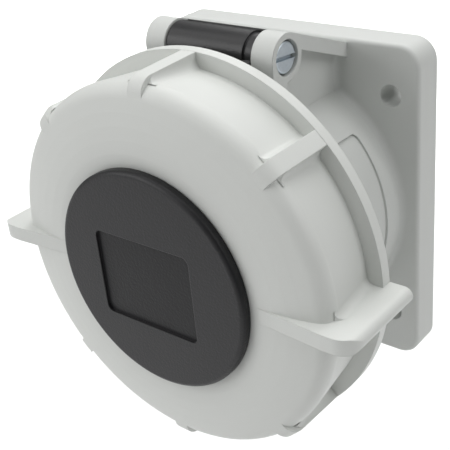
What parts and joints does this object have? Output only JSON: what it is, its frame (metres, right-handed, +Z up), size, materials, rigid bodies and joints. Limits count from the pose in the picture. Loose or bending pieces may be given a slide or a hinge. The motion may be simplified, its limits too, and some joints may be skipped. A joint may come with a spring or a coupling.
{
  "type": "industrial panel socket",
  "caption": "Flanged industrial panel socket with round collar, sprung hinged cap, bayonet locking ring with grip wings and sleeve contacts with screw terminals.",
  "frame": {"origin": "centre of the flange's rear face, which is the middle of the four fixing holes", "axes": "-Y out of the front of the socket, +Z up towards the hinge, +X to the right seen from the front"},
  "size_m": [0.107, 0.0942, 0.0987],
  "materials": {
    "housing_grey": "fine matt moulded light grey polyamide",
    "ring_grey": "fine matt moulded light grey polyamide",
    "black_plastic": "fine matt moulded black polyamide",
    "insert_grey": "matt moulded dark grey polyamide",
    "gasket_black": "matt chloroprene rubber",
    "zinc_steel": "blue-zinc-plated steel",
    "nickel_brass": "bright turned brass",
    "spring_steel": "stainless spring steel"
  },
  "bodies": {
    "housing": {"flange_housing": "housing_grey", "panel_gasket": "gasket_black", "contact_carrier": "insert_grey", "contact_earth": "nickel_brass", "contact_l1": "nickel_brass", "contact_l2": "nickel_brass", "contact_l3": "nickel_brass", "contact_n": "nickel_brass", "contact_springs": "spring_steel", "terminal_block": "insert_grey", "terminal_clamps": "zinc_steel", "terminal_screws": "zinc_steel", "block_screw": "zinc_steel", "carrier_screws": "zinc_steel", "hinge_screw": "zinc_steel", "hinge_spring": "spring_steel"},
    "lid": {"lid_body": "black_plastic", "lid_gasket": "gasket_black", "centre_disc": "black_plastic"},
    "ring": {"locking_ring": "ring_grey"}
  },
  "joints": [
    {"name": "lid_hinge", "type": "hinge", "parent": "housing", "child": "lid", "pos_m": [0, -0.0326, 0.0452], "axis": [-1, 0, 0], "range_deg": [0, 120], "stiffness_Nm_per_rad": 0.05, "springref_deg": -60.16},
    {"name": "ring_turn", "type": "hinge", "parent": "lid", "child": "ring", "pos_m": [0, -0.052, 0], "axis": [0, 1, 0], "range_deg": [0, 35]}
  ]
}
